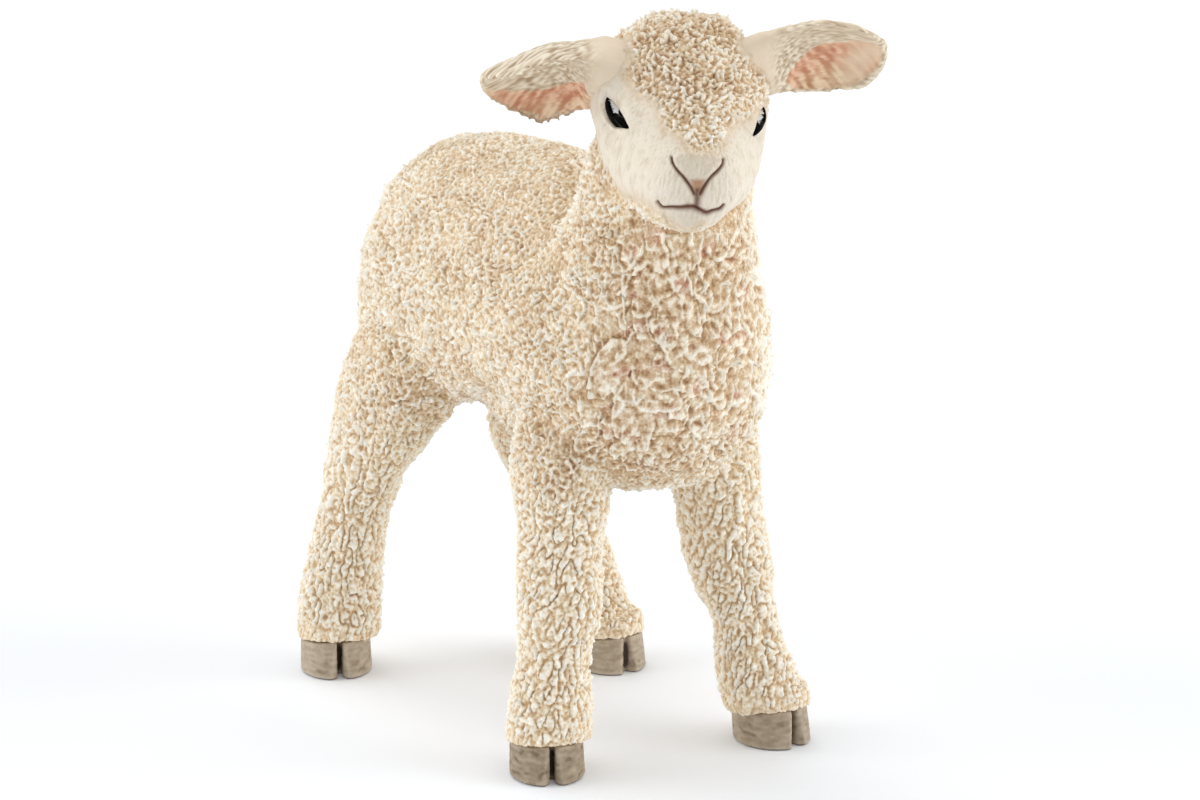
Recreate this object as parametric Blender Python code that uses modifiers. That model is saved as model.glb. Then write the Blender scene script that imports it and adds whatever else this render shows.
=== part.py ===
"""Toy lamb: a moulded farm animal figure, assembled from plugged and bonded pieces.

The lamb faces -Y, its left side is +X, and its four hooves stand on z = 0. The trunk, neck, head and limbs
are smooth tapering lofts. Each piece is trimmed to the larger one that carries it, with an even glue seam,
and a round peg on it sits in a socket there, which keeps the piece in its place.
"""

import math

import bmesh
import bpy
from mathutils import Matrix, Vector

# Legs: they run from inside the trunk down to the cuffs above the hooves.
LEG_HEIGHT = 0.0220
LEG_WIDTH = 0.0052
STANCE_WIDTH = 0.0152
LEG_PEG_RADIUS = 0.0014

# Trunk: from the chest to the rump. The chest reach is how far it lies in front of the origin, and the
# back rises above the tops of the legs.
TRUNK_LENGTH = 0.0350
TRUNK_WIDTH = 0.0162
TRUNK_DEPTH = 0.0190
BACK_RISE = 0.0135
BACK_HEIGHT = LEG_HEIGHT + BACK_RISE
CHEST_REACH = 0.0160

# Neck: comes out of the shoulders and carries the middle of the head at its rise above the back.
NECK_WIDTH = 0.0096
NECK_DEPTH = 0.0104
NECK_RISE = 0.0049
NECK_REACH = 0.0114
NECK_PEG_RADIUS = 0.0020
NECK_PEG_LENGTH = 0.0060

# Head: measured in its own frame, which is turned towards the lamb's right. Its middle lies ahead of the
# neck, and a little to the lamb's right.
HEAD_LENGTH = 0.0150
HEAD_WIDTH = 0.0102
HEAD_DEPTH = 0.0108
HEAD_LEAD = 0.0016
HEAD_SHIFT = 0.0004
HEAD_HEIGHT = BACK_HEIGHT + NECK_RISE
HEAD_REACH = NECK_REACH + HEAD_LEAD
HEAD_YAW = math.radians(-28)

# Face grooves: the nose line and the mouth line.
NOSE_GROOVE_RADIUS = 0.00014
MOUTH_GROOVE_RADIUS = 0.00017

# Ears: leaf-shaped cups that stand out sideways from the head.
EAR_LENGTH = 0.0079
EAR_WIDTH = 0.0062
EAR_WALL = 0.0009
EAR_LIFT = {"right": math.radians(-7), "left": math.radians(5)}
EAR_PEG_RADIUS = 0.0006
EAR_PEG_DEPTH = 0.0024

# Eyes: glossy lens-shaped inserts.
EYE_LENGTH = 0.0027
EYE_HEIGHT = 0.0014
EYE_THICKNESS = 0.0008
EYE_TILT = math.radians(33)

# Hooves: cloven, with a flat sole and a top that slopes down to the heel.
HOOF_WIDTH = 0.0043
HOOF_LENGTH = 0.0048
HOOF_HEIGHT = 0.0021
HOOF_SLOPE = math.radians(9)
HOOF_FLARE = 0.00015
HOOF_LEAN = 0.0003
HOOF_EDGE = 0.00015
HOOF_PEG_RADIUS = 0.0009
HOOF_PEG_DEPTH = 0.0018
CLEFT_WIDTH = 0.00035
CLEFT_DEPTH = 0.0014
CLEFT_NOTCH = 0.0010

# Tail: hangs close to the rump.
TAIL_LENGTH = 0.0095
TAIL_WIDTH = 0.0034
TAIL_PEG_RADIUS = 0.0008
TAIL_PEG_DEPTH = 0.0050

# Fits between pieces.
SEAM_GAP = 0.0003
CUFF_GAP = 0.0001
PEG_CLEARANCE = 0.0002
OVERRUN = 0.0020
WELD = 0.000002

HANDS = (("right", -1), ("left", 1))
PEG_SIDES = 14
HOOF_SIDES = 28
LOFT_SIDES = 10
EAR_SIDES = 12

# Trunk sections, rump first: place along the trunk from the chest, height of the centre, tilt in degrees,
# half width, half depth. The last ones turn up through the shoulders.
TRUNK_SHARES = (
    (0.960, 0.695, 0, 0.20, 0.22),
    (0.920, 0.712, -4, 0.33, 0.365),
    (0.815, 0.740, -4, 0.425, 0.465),
    (0.620, 0.753, 0, 0.470, 0.463),
    (0.430, 0.750, 2, 0.490, 0.460),
    (0.290, 0.726, 10, 0.515, 0.506),
    (0.160, 0.730, 34, 0.490, 0.515),
)
# Neck sections: reach forwards, share of the head's height, tilt in degrees, half width, half depth.
NECK_SHARES = (
    (0.96, 0.782, 62, 0.64, 0.60),
    (1.00, 0.881, 78, 0.53, 0.50),
    (1.04, 0.990, 84, 0.48, 0.44),
)
# Head sections, nape first: place along the head from its centre, height, half width, half depth, and how
# much the section narrows towards its top.
HEAD_SHARES = (
    (-0.410, 0.04, 0.24, 0.24, 0),
    (-0.320, 0.06, 0.41, 0.40, 0),
    (-0.120, 0.07, 0.50, 0.50, 0),
    (0.095, 0.01, 0.49, 0.51, 0.06),
    (0.270, -0.09, 0.43, 0.425, 0.18),
    (0.415, -0.18, 0.335, 0.330, 0.22),
    (0.520, -0.21, 0.27, 0.25, 0.15),
    (0.585, -0.22, 0.17, 0.16, 0.10),
)
# Levels of the leg lines in shares of the leg height, and where each leg passes them: sideways in shares of
# the stance width, and lengthways in shares of the trunk length.
LEVEL_SHARES = (1.10, 1.00, 0.75, 0.50, 0.27, 0.00)
LEG_LINE_SHARES = {
    "front_right": (
        (-0.280, -0.210), (-0.360, -0.228), (-0.395, -0.246),
        (-0.434, -0.270), (-0.470, -0.262), (-0.495, -0.268),
    ),
    "front_left": (
        (0.220, -0.230), (0.285, -0.252), (0.295, -0.274),
        (0.349, -0.294), (0.418, -0.320), (0.488, -0.340),
    ),
    "rear_right": (
        (-0.260, 0.262), (-0.330, 0.294), (-0.385, 0.337),
        (-0.461, 0.391), (-0.497, 0.417), (-0.533, 0.410),
    ),
    "rear_left": (
        (0.240, 0.305), (0.285, 0.342), (0.315, 0.352),
        (0.397, 0.312), (0.434, 0.228), (0.455, 0.150),
    ),
}
# Leg sections: level, half width, half length.
FRONT_LEG_SHARES = (
    (1.14, 0.25, 0.30),
    (1.06, 0.45, 0.55),
    (0.90, 0.58, 0.70),
    (0.76, 0.53, 0.61),
    (0.62, 0.46, 0.50),
    (0.50, 0.51, 0.54),
    (0.41, 0.45, 0.48),
    (0.33, 0.40, 0.42),
    (0.25, 0.45, 0.47),
    (0.16, 0.50, 0.51),
    (0.09, 0.50, 0.51),
    (0.00, 0.50, 0.51),
)
REAR_LEG_SHARES = (
    (1.14, 0.25, 0.50),
    (1.06, 0.50, 0.82),
    (0.92, 0.60, 0.92),
    (0.79, 0.58, 0.91),
    (0.66, 0.49, 0.70),
    (0.54, 0.42, 0.54),
    (0.42, 0.41, 0.49),
    (0.33, 0.44, 0.50),
    (0.24, 0.49, 0.53),
    (0.16, 0.50, 0.53),
    (0.09, 0.49, 0.51),
    (0.00, 0.49, 0.51),
)
# The peg of a leg: the level where it starts, and where it ends in the trunk: sideways in shares of the
# trunk width, lengthways in shares of the trunk length, and height in shares of the back height.
FRONT_PEG_SHARES = (0.80, (0.20, -0.23, 0.70))
REAR_PEG_SHARES = (0.82, (0.18, 0.28, 0.70))
TOE_YAW = {
    "front_right": math.radians(-24),
    "front_left": math.radians(6),
    "rear_right": math.radians(-24),
    "rear_left": math.radians(-2),
}
# Ear sections from the root to the tip: place along the ear, half width, and how far the cup has opened.
EAR_SHARES = (
    (-0.24, 0.30, 0.0),
    (0.04, 0.40, 0.0),
    (0.17, 0.45, 0.5),
    (0.34, 0.54, 1.0),
    (0.55, 0.58, 1.0),
    (0.77, 0.50, 1.0),
    (0.93, 0.30, 0.8),
    (1.00, 0.10, 0.2),
)
# How deep each cup is, in shares of its half width.
EAR_CUP_SHARES = {"right": 0.80, "left": 0.45}
# Where the root of an ear sits on the head: sideways, forwards, upwards.
EAR_ROOT_SHARES = (0.40, -0.06, 0.32)
# Where each eye sits on the head: forwards, upwards. The left one sits lower, as on the real figure.
EYE_SHARES = {"right": (0.185, 0.090), "left": (0.205, 0.010)}
# How far each cup faces down from straight ahead.
EAR_DROOP = {"right": math.radians(36), "left": math.radians(27)}
# How far the upper rim of each cup rolls forwards, in shares of the cup's half width.
EAR_ROLL_SHARES = {"right": 0.7, "left": 0.5}
# Face lines, as places seen from in front: sideways in shares of the head's width, height in shares of its
# depth.
NOSE_LINES_SHARES = (
    ((-0.160, -0.06), (-0.110, -0.12), (-0.015, -0.225), (-0.015, -0.300)),
    ((0.135, -0.06), (0.070, -0.13), (-0.015, -0.225)),
)
MOUTH_SHARES = (
    (-0.225, -0.290), (-0.175, -0.320), (-0.090, -0.295), (-0.015, -0.300), (0.050, -0.330), (0.135, -0.295),
)
GROOVE_STEPS = 3
# Tail sections: drop and set back in shares of the tail's length, half width, half depth.
TAIL_SHARES = (
    (-0.04, -0.06, 0.24, 0.24),
    (0.06, 0.08, 0.42, 0.40),
    (0.26, 0.19, 0.50, 0.46),
    (0.54, 0.22, 0.50, 0.44),
    (0.82, 0.20, 0.38, 0.34),
    (1.00, 0.18, 0.16, 0.16),
)
TAIL_ROOT_SHARES = (0.925, 0.84)
# Where each peg starts: along the ear, up the line from the sole to the end of the hoof's peg, and down
# and back in the tail.
EAR_PEG_SHARE = 1 / 6
HOOF_PEG_SHARE = 1 / 3
TAIL_PEG_SHARES = (0.20, 0.19)


def clear_scene():
    for thing in list(bpy.data.objects):
        bpy.data.objects.remove(thing, do_unlink=True)


def collection(name):
    made = bpy.data.collections.new(name)
    bpy.context.scene.collection.children.link(made)
    return made


def material(name, colour, roughness):
    made = bpy.data.materials.new(name)
    made.use_nodes = True
    shader = made.node_tree.nodes["Principled BSDF"]
    shader.inputs["Base Color"].default_value = (*colour, 1)
    shader.inputs["Roughness"].default_value = roughness
    shader.inputs["Metallic"].default_value = 0
    return made


def move_to(thing, into, parent=None):
    for home in list(thing.users_collection):
        home.objects.unlink(thing)
    into.objects.link(thing)
    thing.parent = parent
    return thing


def section(centre, side, up, half_side, half_up, pinch=0):
    """A ring from side to up, grown so that the smoothed surface passes through the ellipse.

    The pinch narrows the ring towards its top, and widens it as much towards its bottom.
    """
    grow = 1 / (2 / 3 + math.cos(math.tau / LOFT_SIDES) / 3)
    ring = []
    for step in range(LOFT_SIDES):
        angle = math.tau * (step + 1 / 2) / LOFT_SIDES
        across = side * (half_side * grow * math.cos(angle) * (1 - pinch * math.sin(angle)))
        ring.append(centre + across + up * (half_up * grow * math.sin(angle)))
    return ring


def loft(name, rings, levels, into, parent=None):
    """A smooth closed form through rings that turn right-handed about the way the form runs."""
    sides = len(rings[0])
    points = [tuple(point) for ring in rings for point in ring]
    faces = [tuple(reversed(range(sides))), tuple(range(len(points) - sides, len(points)))]
    for low in range(0, len(points) - sides, sides):
        for step in range(sides):
            after = (step + 1) % sides
            faces.append((low + step, low + after, low + sides + after, low + sides + step))
    mesh = bpy.data.meshes.new(name)
    mesh.from_pydata(points, [], faces)
    made = move_to(bpy.data.objects.new(name, mesh), into, parent)
    smooth = made.modifiers.new("smooth", "SUBSURF")
    smooth.levels = levels
    smooth.render_levels = levels
    return made


def shape_of(source):
    """The mesh that an object's modifiers have made so far, in world space."""
    bpy.context.view_layer.update()
    graph = bpy.context.evaluated_depsgraph_get()
    mesh = bpy.data.meshes.new_from_object(source.evaluated_get(graph))
    mesh.transform(source.matrix_world)
    return mesh


def welded(mesh):
    """Joins the loose end caps of a tube that was a curve."""
    work = bmesh.new()
    work.from_mesh(mesh)
    bmesh.ops.remove_doubles(work, verts=work.verts, dist=WELD)
    work.to_mesh(mesh)
    work.free()
    return mesh


def grown(source, distance, cutters):
    """A trimming helper: the form of an object, swollen by an even distance."""
    mesh = shape_of(source)
    moved = [vertex.co + vertex.normal * distance for vertex in mesh.vertices]
    for vertex, place in zip(mesh.vertices, moved):
        vertex.co = place
    return move_to(bpy.data.objects.new(f"{source.name}_grown", mesh), cutters)


def cylinder(name, base, tip, radius, into, parent=None):
    axis = tip - base
    bpy.ops.mesh.primitive_cylinder_add(vertices=PEG_SIDES, radius=radius, depth=axis.length)
    made = bpy.context.object
    made.name = name
    made.location = (base + tip) / 2
    made.rotation_mode = "QUATERNION"
    made.rotation_quaternion = axis.to_track_quat("Z", "Y")
    return move_to(made, into, parent)


def box(name, size, centre, turn, into, parent):
    bpy.ops.mesh.primitive_cube_add(size=1)
    made = bpy.context.object
    made.name = name
    made.scale = size
    made.location = centre
    made.rotation_euler = turn
    return move_to(made, into, parent)


def boolean(target, other, operation):
    other.hide_render = True
    other.display_type = "WIRE"
    step = target.modifiers.new(other.name, "BOOLEAN")
    step.operation = operation
    step.solver = "EXACT"
    step.object = other


def plug(piece, carrier, root, seat, radius, cutters, parent=None):
    """Gives the piece a peg from root to seat, and its carrier the socket for it."""
    along = (seat - root).normalized()
    peg = cylinder(f"{piece.name}_peg", root, seat, radius, cutters, parent)
    boolean(piece, peg, "UNION")
    bottom = seat + along * PEG_CLEARANCE
    socket = cylinder(f"{piece.name}_socket", root, bottom, radius + PEG_CLEARANCE, cutters, parent)
    boolean(carrier, socket, "DIFFERENCE")


def paint(thing, surface):
    thing.data.materials.clear()
    thing.data.materials.append(surface)
    thing.data.shade_smooth()
    return thing


def torso_form(figure):
    """The trunk and neck: one loft along a spine that bends up through the shoulders."""
    places = []
    for along, height, tilt, half_width, half_depth in TRUNK_SHARES:
        centre = Vector((0, along * TRUNK_LENGTH - CHEST_REACH, height * BACK_HEIGHT))
        places.append((centre, tilt, half_width * TRUNK_WIDTH, half_depth * TRUNK_DEPTH))
    for reach, height, tilt, half_width, half_depth in NECK_SHARES:
        centre = Vector((0, -reach * NECK_REACH, height * HEAD_HEIGHT))
        places.append((centre, tilt, half_width * NECK_WIDTH, half_depth * NECK_DEPTH))
    rings = []
    for centre, tilt, width, depth in places:
        up = Vector((0, math.sin(math.radians(tilt)), math.cos(math.radians(tilt))))
        rings.append(section(centre, Vector((1, 0, 0)), up, width, depth))
    return loft("torso", rings, 2, figure)


def head_pose(figure):
    """The empty that carries the head, ears and eyes."""
    pose = move_to(bpy.data.objects.new("head_pose", None), figure)
    pose.location = (-HEAD_SHIFT, -HEAD_REACH, HEAD_HEIGHT)
    pose.rotation_euler = (0, 0, HEAD_YAW)
    return pose


def head_form(figure, pose):
    rings = []
    for along, height, half_width, half_depth, pinch in HEAD_SHARES:
        centre = Vector((0, -along * HEAD_LENGTH, height * HEAD_DEPTH))
        width, depth = half_width * HEAD_WIDTH, half_depth * HEAD_DEPTH
        rings.append(section(centre, Vector((1, 0, 0)), Vector((0, 0, 1)), width, depth, pinch))
    return loft("head", rings, 2, figure, pose)


def hit(head, start, direction):
    """Where a line meets the head's form, and the way that the form faces there, in the head's frame."""
    bpy.context.view_layer.update()
    graph = bpy.context.evaluated_depsgraph_get()
    _, place, normal, _ = head.evaluated_get(graph).ray_cast(start, direction)
    return place, normal


def groove(name, head, shares, radius, cutters, pose):
    """A round-bottomed groove cutter that follows places on the face."""
    places = []
    for (x, z), (next_x, next_z) in zip(shares, shares[1:]):
        for step in range(GROOVE_STEPS):
            part = step / GROOVE_STEPS
            places.append((x + (next_x - x) * part, z + (next_z - z) * part))
    places.append(shares[-1])
    line = bpy.data.curves.new(name, "CURVE")
    line.dimensions = "3D"
    line.bevel_depth = radius
    line.bevel_resolution = 1
    line.use_fill_caps = True
    spline = line.splines.new("POLY")
    spline.points.add(len(places) - 1)
    for point, (x, z) in zip(spline.points, places):
        start = Vector((x * HEAD_WIDTH, -HEAD_LENGTH, z * HEAD_DEPTH))
        point.co = (*hit(head, start, Vector((0, 1, 0)))[0], 1)
    guide = move_to(bpy.data.objects.new(name, line), cutters, pose)
    mesh = welded(shape_of(guide))
    bpy.data.objects.remove(guide, do_unlink=True)
    return move_to(bpy.data.objects.new(name, mesh), cutters)


def ear_root(side, hand):
    """The root of an ear and the way that the ear stands away from the head."""
    out, ahead, up = EAR_ROOT_SHARES
    root = Vector((hand * out * HEAD_WIDTH, -ahead * HEAD_LENGTH, up * HEAD_DEPTH))
    return root, Vector((hand * math.cos(EAR_LIFT[side]), 0, math.sin(EAR_LIFT[side])))


def ear_form(side, hand, figure, pose):
    """A leaf-shaped cup: each section is a crescent that closes to a solid stem at the root."""
    root, away = ear_root(side, hand)
    facing = Vector((0, -math.cos(EAR_DROOP[side]), -math.sin(EAR_DROOP[side])))
    facing = (facing - away * facing.dot(away)).normalized()
    across = away.cross(facing)
    rings = []
    for along, half_width, opened in EAR_SHARES:
        width = half_width * EAR_WIDTH
        cup = width * EAR_CUP_SHARES[side]
        centre = root + away * (along * EAR_LENGTH) + facing * (cup / 2)
        ring = []
        for step in range(EAR_SIDES):
            angle = math.tau * step / EAR_SIDES
            depth = -cup * math.sin(angle)
            if depth > 0:
                depth += (EAR_WALL - 2 * cup) * math.sin(-angle) * opened
            above = -hand * math.cos(angle)
            if above > 0:
                depth += above ** 2 * width * EAR_ROLL_SHARES[side] * opened
            ring.append(centre + across * (width * math.cos(angle)) + facing * depth)
        rings.append(ring)
    return loft(f"{side}_ear", rings, 1, figure, pose)


def eye(side, hand, head, figure, cutters, pose, surface):
    """A lens that sits half sunk in the side of the face. It returns the recess for it."""
    ahead, up = EYE_SHARES[side]
    start = Vector((hand * HEAD_WIDTH, -ahead * HEAD_LENGTH, up * HEAD_DEPTH))
    place, normal = hit(head, start, Vector((-hand, 0, 0)))
    slant = Vector((0, -math.cos(EYE_TILT), -math.sin(EYE_TILT)))
    along = (slant - normal * slant.dot(normal)).normalized()
    turn = Matrix((along, normal.cross(along), normal)).transposed().to_4x4()
    made = []
    for label, spare, home in ((f"{side}_eye", 0, figure), (f"{side}_eye_recess", PEG_CLEARANCE, cutters)):
        bpy.ops.mesh.primitive_uv_sphere_add(segments=16, ring_count=8, radius=1)
        lens = bpy.context.object
        lens.name = label
        half = Vector((EYE_LENGTH, EYE_HEIGHT, EYE_THICKNESS)) / 2
        lens.data.transform(Matrix.Diagonal((half.x + spare, half.y + spare, half.z + spare, 1)))
        lens.matrix_basis = Matrix.Translation(place) @ turn
        made.append(move_to(lens, home, pose))
    paint(made[0], surface)
    return made[1]


def leg_point(name, level):
    """The middle of a leg at a level."""
    line = LEG_LINE_SHARES[name]
    place = 0
    while place < len(line) - 2 and level < LEVEL_SHARES[place + 1]:
        place += 1
    high, low = LEVEL_SHARES[place], LEVEL_SHARES[place + 1]
    part = (high - level) / (high - low)
    sideways = line[place][0] + (line[place + 1][0] - line[place][0]) * part
    along = line[place][1] + (line[place + 1][1] - line[place][1]) * part
    return Vector((sideways * STANCE_WIDTH, along * TRUNK_LENGTH, level * LEG_HEIGHT))


def leg_form(name, shares, figure):
    rings = []
    for level, half_width, half_length in shares:
        width, length = half_width * LEG_WIDTH, half_length * LEG_WIDTH
        rings.append(section(leg_point(name, level), Vector((1, 0, 0)), Vector((0, -1, 0)), width, length))
    return loft(f"{name}_leg", rings, 1, figure)


def hoof_form(name, figure):
    """A horn shoe whose wall leans forwards and flares to the sole."""
    height = HOOF_HEIGHT + OVERRUN
    bpy.ops.mesh.primitive_cone_add(
        vertices=HOOF_SIDES, radius1=HOOF_WIDTH / 2 + HOOF_FLARE, radius2=HOOF_WIDTH / 2, depth=height
    )
    made = bpy.context.object
    made.name = f"{name}_hoof"
    lean = Matrix.Shear("XY", 4, (0, HOOF_LEAN / HOOF_HEIGHT))
    stretch = Matrix.Diagonal((1, HOOF_LENGTH / HOOF_WIDTH, 1, 1))
    made.data.transform(lean @ stretch @ Matrix.Translation((0, 0, height / 2)))
    made.location = leg_point(name, 0)
    made.rotation_euler = (0, 0, TOE_YAW[name])
    edge = made.modifiers.new("edge", "BEVEL")
    edge.width = HOOF_EDGE
    edge.segments = 2
    return move_to(made, figure)


def cut_cleft(hoof, cutters):
    """The slot between the two toes, in front and at the heel, with a wide mouth in front."""
    reach = HOOF_LENGTH / 2 + HOOF_FLARE
    height = (HOOF_HEIGHT + OVERRUN) * 2
    for label, way in (("toe", -1), ("heel", 1)):
        size = (CLEFT_WIDTH, CLEFT_DEPTH * 2, height)
        slot = box(f"{hoof.name}_{label}_cleft", size, (0, way * reach, 0), (0, 0, 0), cutters, hoof)
        boolean(hoof, slot, "DIFFERENCE")
    size = (CLEFT_NOTCH, CLEFT_NOTCH, height)
    turn = (0, 0, math.radians(45))
    boolean(hoof, box(f"{hoof.name}_notch", size, (0, -reach, 0), turn, cutters, hoof), "DIFFERENCE")


def trim_at_cuff(leg, hoof, cutters):
    """Cuts the leg and the hoof square to each other along the sloping cuff."""
    wide = LEG_WIDTH * 2
    turn = (-HOOF_SLOPE, 0, 0)
    half = Vector((0, math.sin(HOOF_SLOPE), math.cos(HOOF_SLOPE))) * (wide / 2)
    middle = Vector((0, 0, HOOF_HEIGHT))
    above = box(f"{hoof.name}_trim", (wide, wide, wide), middle + half, turn, cutters, hoof)
    boolean(hoof, above, "DIFFERENCE")
    raised = middle + half.normalized() * CUFF_GAP
    below = box(f"{leg.name}_trim", (wide, wide, wide), raised - half, turn, cutters, hoof)
    boolean(leg, below, "DIFFERENCE")


def tail_point(drop, back):
    """The middle of the tail, from its drop and its set back."""
    along, height = TAIL_ROOT_SHARES
    root = Vector((0, along * TRUNK_LENGTH - CHEST_REACH, height * BACK_HEIGHT))
    return root + Vector((0, back, -drop)) * TAIL_LENGTH


def tail_form(figure):
    rings = []
    for drop, back, half_width, half_depth in TAIL_SHARES:
        width, depth = half_width * TAIL_WIDTH, half_depth * TAIL_WIDTH
        rings.append(section(tail_point(drop, back), Vector((1, 0, 0)), Vector((0, -1, 0)), width, depth))
    return loft("tail", rings, 1, figure)


def leg_end(name, shares):
    """Where the peg of a leg ends in the trunk."""
    sideways, along, height = shares
    hand = math.copysign(1, LEG_LINE_SHARES[name][0][0])
    return Vector((hand * sideways * TRUNK_WIDTH, along * TRUNK_LENGTH, height * BACK_HEIGHT))


def build_legs(torso, trim, figure, cutters, paints):
    for name in LEG_LINE_SHARES:
        front = name.startswith("front")
        start, end = FRONT_PEG_SHARES if front else REAR_PEG_SHARES
        leg = paint(leg_form(name, FRONT_LEG_SHARES if front else REAR_LEG_SHARES, figure), paints["wool"])
        hoof = paint(hoof_form(name, figure), paints["hoof"])
        boolean(leg, trim, "DIFFERENCE")
        cut_cleft(hoof, cutters)
        trim_at_cuff(leg, hoof, cutters)
        plug(leg, torso, leg_point(name, start), leg_end(name, end), LEG_PEG_RADIUS, cutters)
        level = (HOOF_HEIGHT + HOOF_PEG_DEPTH) / LEG_HEIGHT
        root, seat = leg_point(name, level * HOOF_PEG_SHARE), leg_point(name, level)
        plug(hoof, leg, root, seat, HOOF_PEG_RADIUS, cutters)


def build_tail(torso, trim, figure, cutters, paints):
    tail = paint(tail_form(figure), paints["wool"])
    boolean(tail, trim, "DIFFERENCE")
    root = tail_point(*TAIL_PEG_SHARES)
    plug(tail, torso, root, root - Vector((0, TAIL_PEG_DEPTH, 0)), TAIL_PEG_RADIUS, cutters)


def build_head(torso, figure, cutters, paints):
    """The head with its face lines, ears and eyes, on the peg of the neck."""
    pose = head_pose(figure)
    head = paint(head_form(figure, pose), paints["face"])
    trim = grown(head, SEAM_GAP, cutters)
    grooves = [groove("mouth_line", head, MOUTH_SHARES, MOUTH_GROOVE_RADIUS, cutters, pose)]
    for shares in NOSE_LINES_SHARES:
        grooves.append(groove("nose_line", head, shares, NOSE_GROOVE_RADIUS, cutters, pose))
    eyes = [eye(side, hand, head, figure, cutters, pose, paints["eye"]) for side, hand in HANDS]
    for side, hand in HANDS:
        ear = paint(ear_form(side, hand, figure, pose), paints["ear"])
        boolean(ear, trim, "DIFFERENCE")
        root, away = ear_root(side, hand)
        start, seat = root + away * (EAR_LENGTH * EAR_PEG_SHARE), root - away * EAR_PEG_DEPTH
        plug(ear, head, start, seat, EAR_PEG_RADIUS, cutters, pose)
    for line in grooves:
        boolean(head, line, "DIFFERENCE")
    for recess in eyes:
        boolean(head, recess, "DIFFERENCE")
    boolean(torso, trim, "DIFFERENCE")
    root = Vector((0, -NECK_REACH, HEAD_HEIGHT - NECK_PEG_LENGTH))
    plug(torso, head, root, root + Vector((0, 0, NECK_PEG_LENGTH)), NECK_PEG_RADIUS, cutters)


def centre_on_origin(figure, cutters):
    """Carries all pieces on an empty, placed so that the origin lies midway between the figure's extremes."""
    bpy.context.view_layer.update()
    graph = bpy.context.evaluated_depsgraph_get()
    pieces = [thing.evaluated_get(graph) for thing in figure.objects if thing.type == "MESH"]
    points = [piece.matrix_world @ vertex.co for piece in pieces for vertex in piece.data.vertices]
    stand = bpy.data.objects.new("stand", None)
    for axis in (0, 1):
        reach = [point[axis] for point in points]
        stand.location[axis] = -(min(reach) + max(reach)) / 2
    for thing in (*figure.objects, *cutters.objects):
        if thing.parent is None:
            thing.parent = stand
    move_to(stand, figure)


def main():
    clear_scene()
    figure = collection("toy_lamb")
    cutters = collection("cutters")
    paints = {
        "wool": material("wool", (0.80, 0.70, 0.54), 0.75),
        "face": material("face", (0.86, 0.79, 0.67), 0.65),
        "ear": material("ear", (0.82, 0.64, 0.50), 0.70),
        "hoof": material("hoof", (0.33, 0.27, 0.21), 0.55),
        "eye": material("eye", (0.01, 0.01, 0.01), 0.10),
    }
    torso = paint(torso_form(figure), paints["wool"])
    trim = grown(torso, SEAM_GAP, cutters)
    build_legs(torso, trim, figure, cutters, paints)
    build_tail(torso, trim, figure, cutters, paints)
    build_head(torso, figure, cutters, paints)
    centre_on_origin(figure, cutters)


main()
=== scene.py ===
"""Toy lamb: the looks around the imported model.

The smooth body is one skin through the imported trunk, head, legs and tail. The curls of the fleece are raised
on it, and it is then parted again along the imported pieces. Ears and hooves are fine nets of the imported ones.
Lengths below are in millimetres, and each piece is brought to metres at the end.
"""

import math

import bmesh
import bpy
import numpy as np
from mathutils import Matrix, Vector, noise
from mathutils.bvhtree import BVHTree


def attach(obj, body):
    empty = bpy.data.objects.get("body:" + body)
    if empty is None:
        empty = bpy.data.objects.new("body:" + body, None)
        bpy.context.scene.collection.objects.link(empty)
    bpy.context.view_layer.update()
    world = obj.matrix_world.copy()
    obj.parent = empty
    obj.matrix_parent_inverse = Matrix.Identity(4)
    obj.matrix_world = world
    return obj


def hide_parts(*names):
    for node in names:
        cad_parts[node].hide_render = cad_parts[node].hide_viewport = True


MM = 0.001
SEED = 11

# Camera, as fitted to the photograph of 1200 x 800 pixels.
PHOTO_WIDTH = 1200
PHOTO_HEIGHT = 800
CAMERA_AZIMUTH = math.radians(-34)
CAMERA_ELEVATION = math.radians(16)
CAMERA_DISTANCE = 290.0
PIXELS_PER_MM = 16.8
CAMERA_AIM = Vector((-4.19, -8.64, 23.0))
AIM_PIXEL_X = 590
SENSOR_WIDTH = 36.0

# Head: its middle and its turn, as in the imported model.
HEAD_CENTRE = Vector((-0.19, -12.24, 40.40))
HEAD_YAW = math.radians(-28)

# Skin: the size of the first net, and how often each of its faces is divided.
NET_SIZE = 0.36
NET_LEVELS = 2

BODY_NODES = (
    "torso", "head", "front_right_leg", "front_left_leg", "rear_right_leg", "rear_left_leg", "tail",
)
LEG_NAMES = ("front_right", "front_left", "rear_right", "rear_left")
HOOF_HEIGHT = 2.1
HOOF_SLOPE = math.radians(9)
CUFF_GAP = 0.1
# How much lighter or darker each hoof's colour is made: painted light and shade, for how the lamps fall on each hoof.
HOOF_PAINTED_SHADE = {"front_right": -0.16, "front_left": 0.0, "rear_right": 0.12, "rear_left": 0.06}
TOE_YAW = {
    "front_right": math.radians(-24),
    "front_left": math.radians(6),
    "rear_right": math.radians(-24),
    "rear_left": math.radians(-2),
}

# Face, in pixels of the photograph: the edge of the bare skin, the eye and the lines of nose and mouth.
FACE_EDGE = (
    (590, 60), (606, 40), (613, 48), (621, 66), (638, 91), (660, 103), (663, 120), (666, 128), (683, 137),
    (692, 152), (716, 152), (727, 128), (738, 118), (750, 115), (761, 104), (769, 90), (800, 90), (800, 190),
    (753, 195), (746, 199), (726, 207), (715, 219), (701, 229), (685, 233), (671, 225), (658, 215),
    (646, 206), (623, 198), (605, 187), (580, 178), (570, 120),
)
EYE_EDGE = (
    (607.5, 96.4), (605.2, 103), (606, 110), (608, 116), (611.5, 122), (616, 126.6), (622, 127.8),
    (629, 128.2), (626, 121.5), (620.2, 110.6), (614, 102),
)
# The eye's glint: a painted highlight, white in the lens colour where a reflection would be.
EYE_GLINT = ((610, 101), (617, 99), (619.5, 106), (618, 114.5), (613, 111))
NOSE_LEFT = ((671.1, 157), (672.4, 163), (677, 170), (684, 177.5), (690, 186), (694.5, 194.5))
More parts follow.
